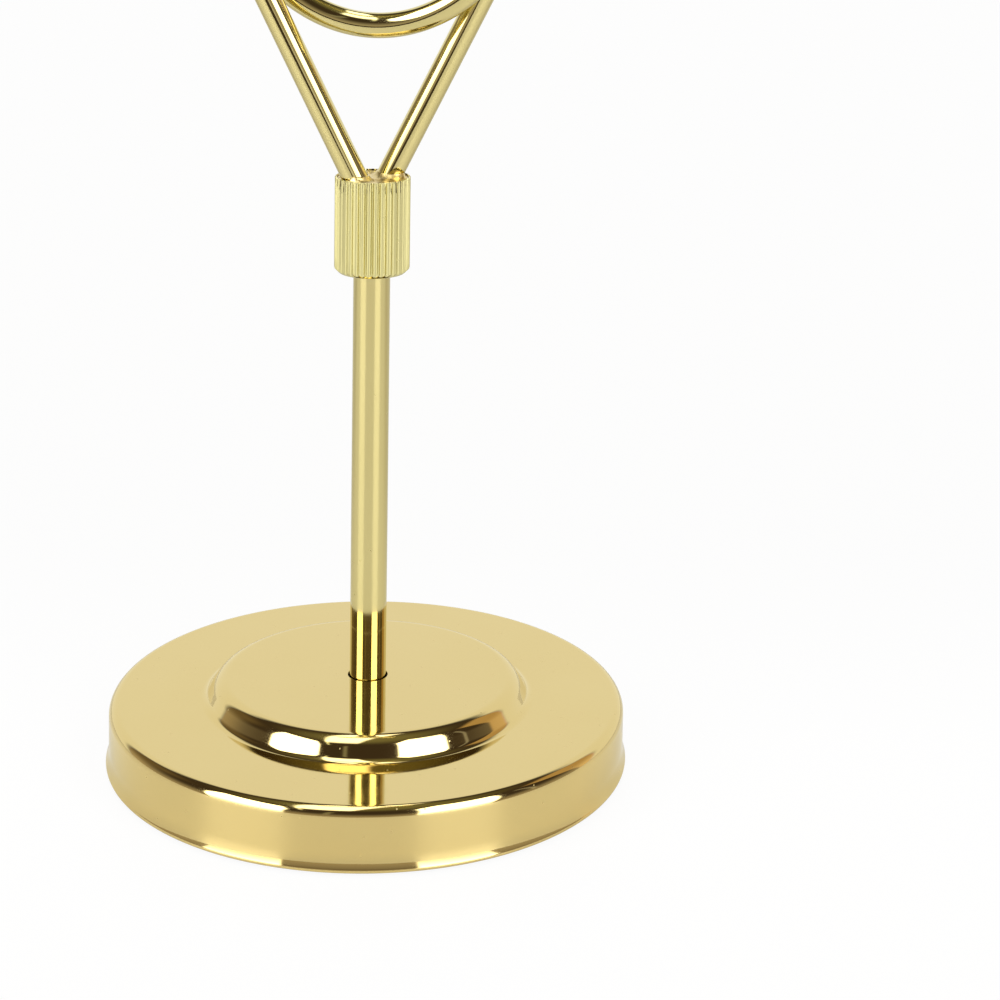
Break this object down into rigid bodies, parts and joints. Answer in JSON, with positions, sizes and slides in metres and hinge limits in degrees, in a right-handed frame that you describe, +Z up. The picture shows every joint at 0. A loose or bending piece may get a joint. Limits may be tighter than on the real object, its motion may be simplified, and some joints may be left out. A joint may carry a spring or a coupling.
{
  "type": "place_card_holder",
  "caption": "Table place card holder: a polished gold plated wire ring clip in a fluted collar, on a slim stem and a weighted round base with a foam pad",
  "frame": {"origin": "centre of the underside of the foam pad, on the table", "axes": "+Z up along the stem, +X along the faces of the ring turns, -Y to the side the card faces"},
  "size_m": [0.0508, 0.0508, 0.1016],
  "materials": {
    "gold_plate": "polished",
    "cast_iron": "rough",
    "foam": "matte",
    "zinc_steel": "satin",
    "solder": "satin"
  },
  "bodies": {
    "stand": {"base_shell": "gold_plate", "base_weight": "cast_iron", "foot_pad": "foam", "stem": "gold_plate", "stem_washer": "zinc_steel", "stem_nut": "zinc_steel"},
    "head": {"collar": "gold_plate", "solder_fill": "solder", "clip_wire": "gold_plate"}
  },
  "joints": [
    {"name": "head_turn", "type": "hinge", "parent": "stand", "child": "head", "pos_m": [0, 0, 0.0494], "axis": [0, 0, 1], "range_deg": [0, 360]}
  ]
}
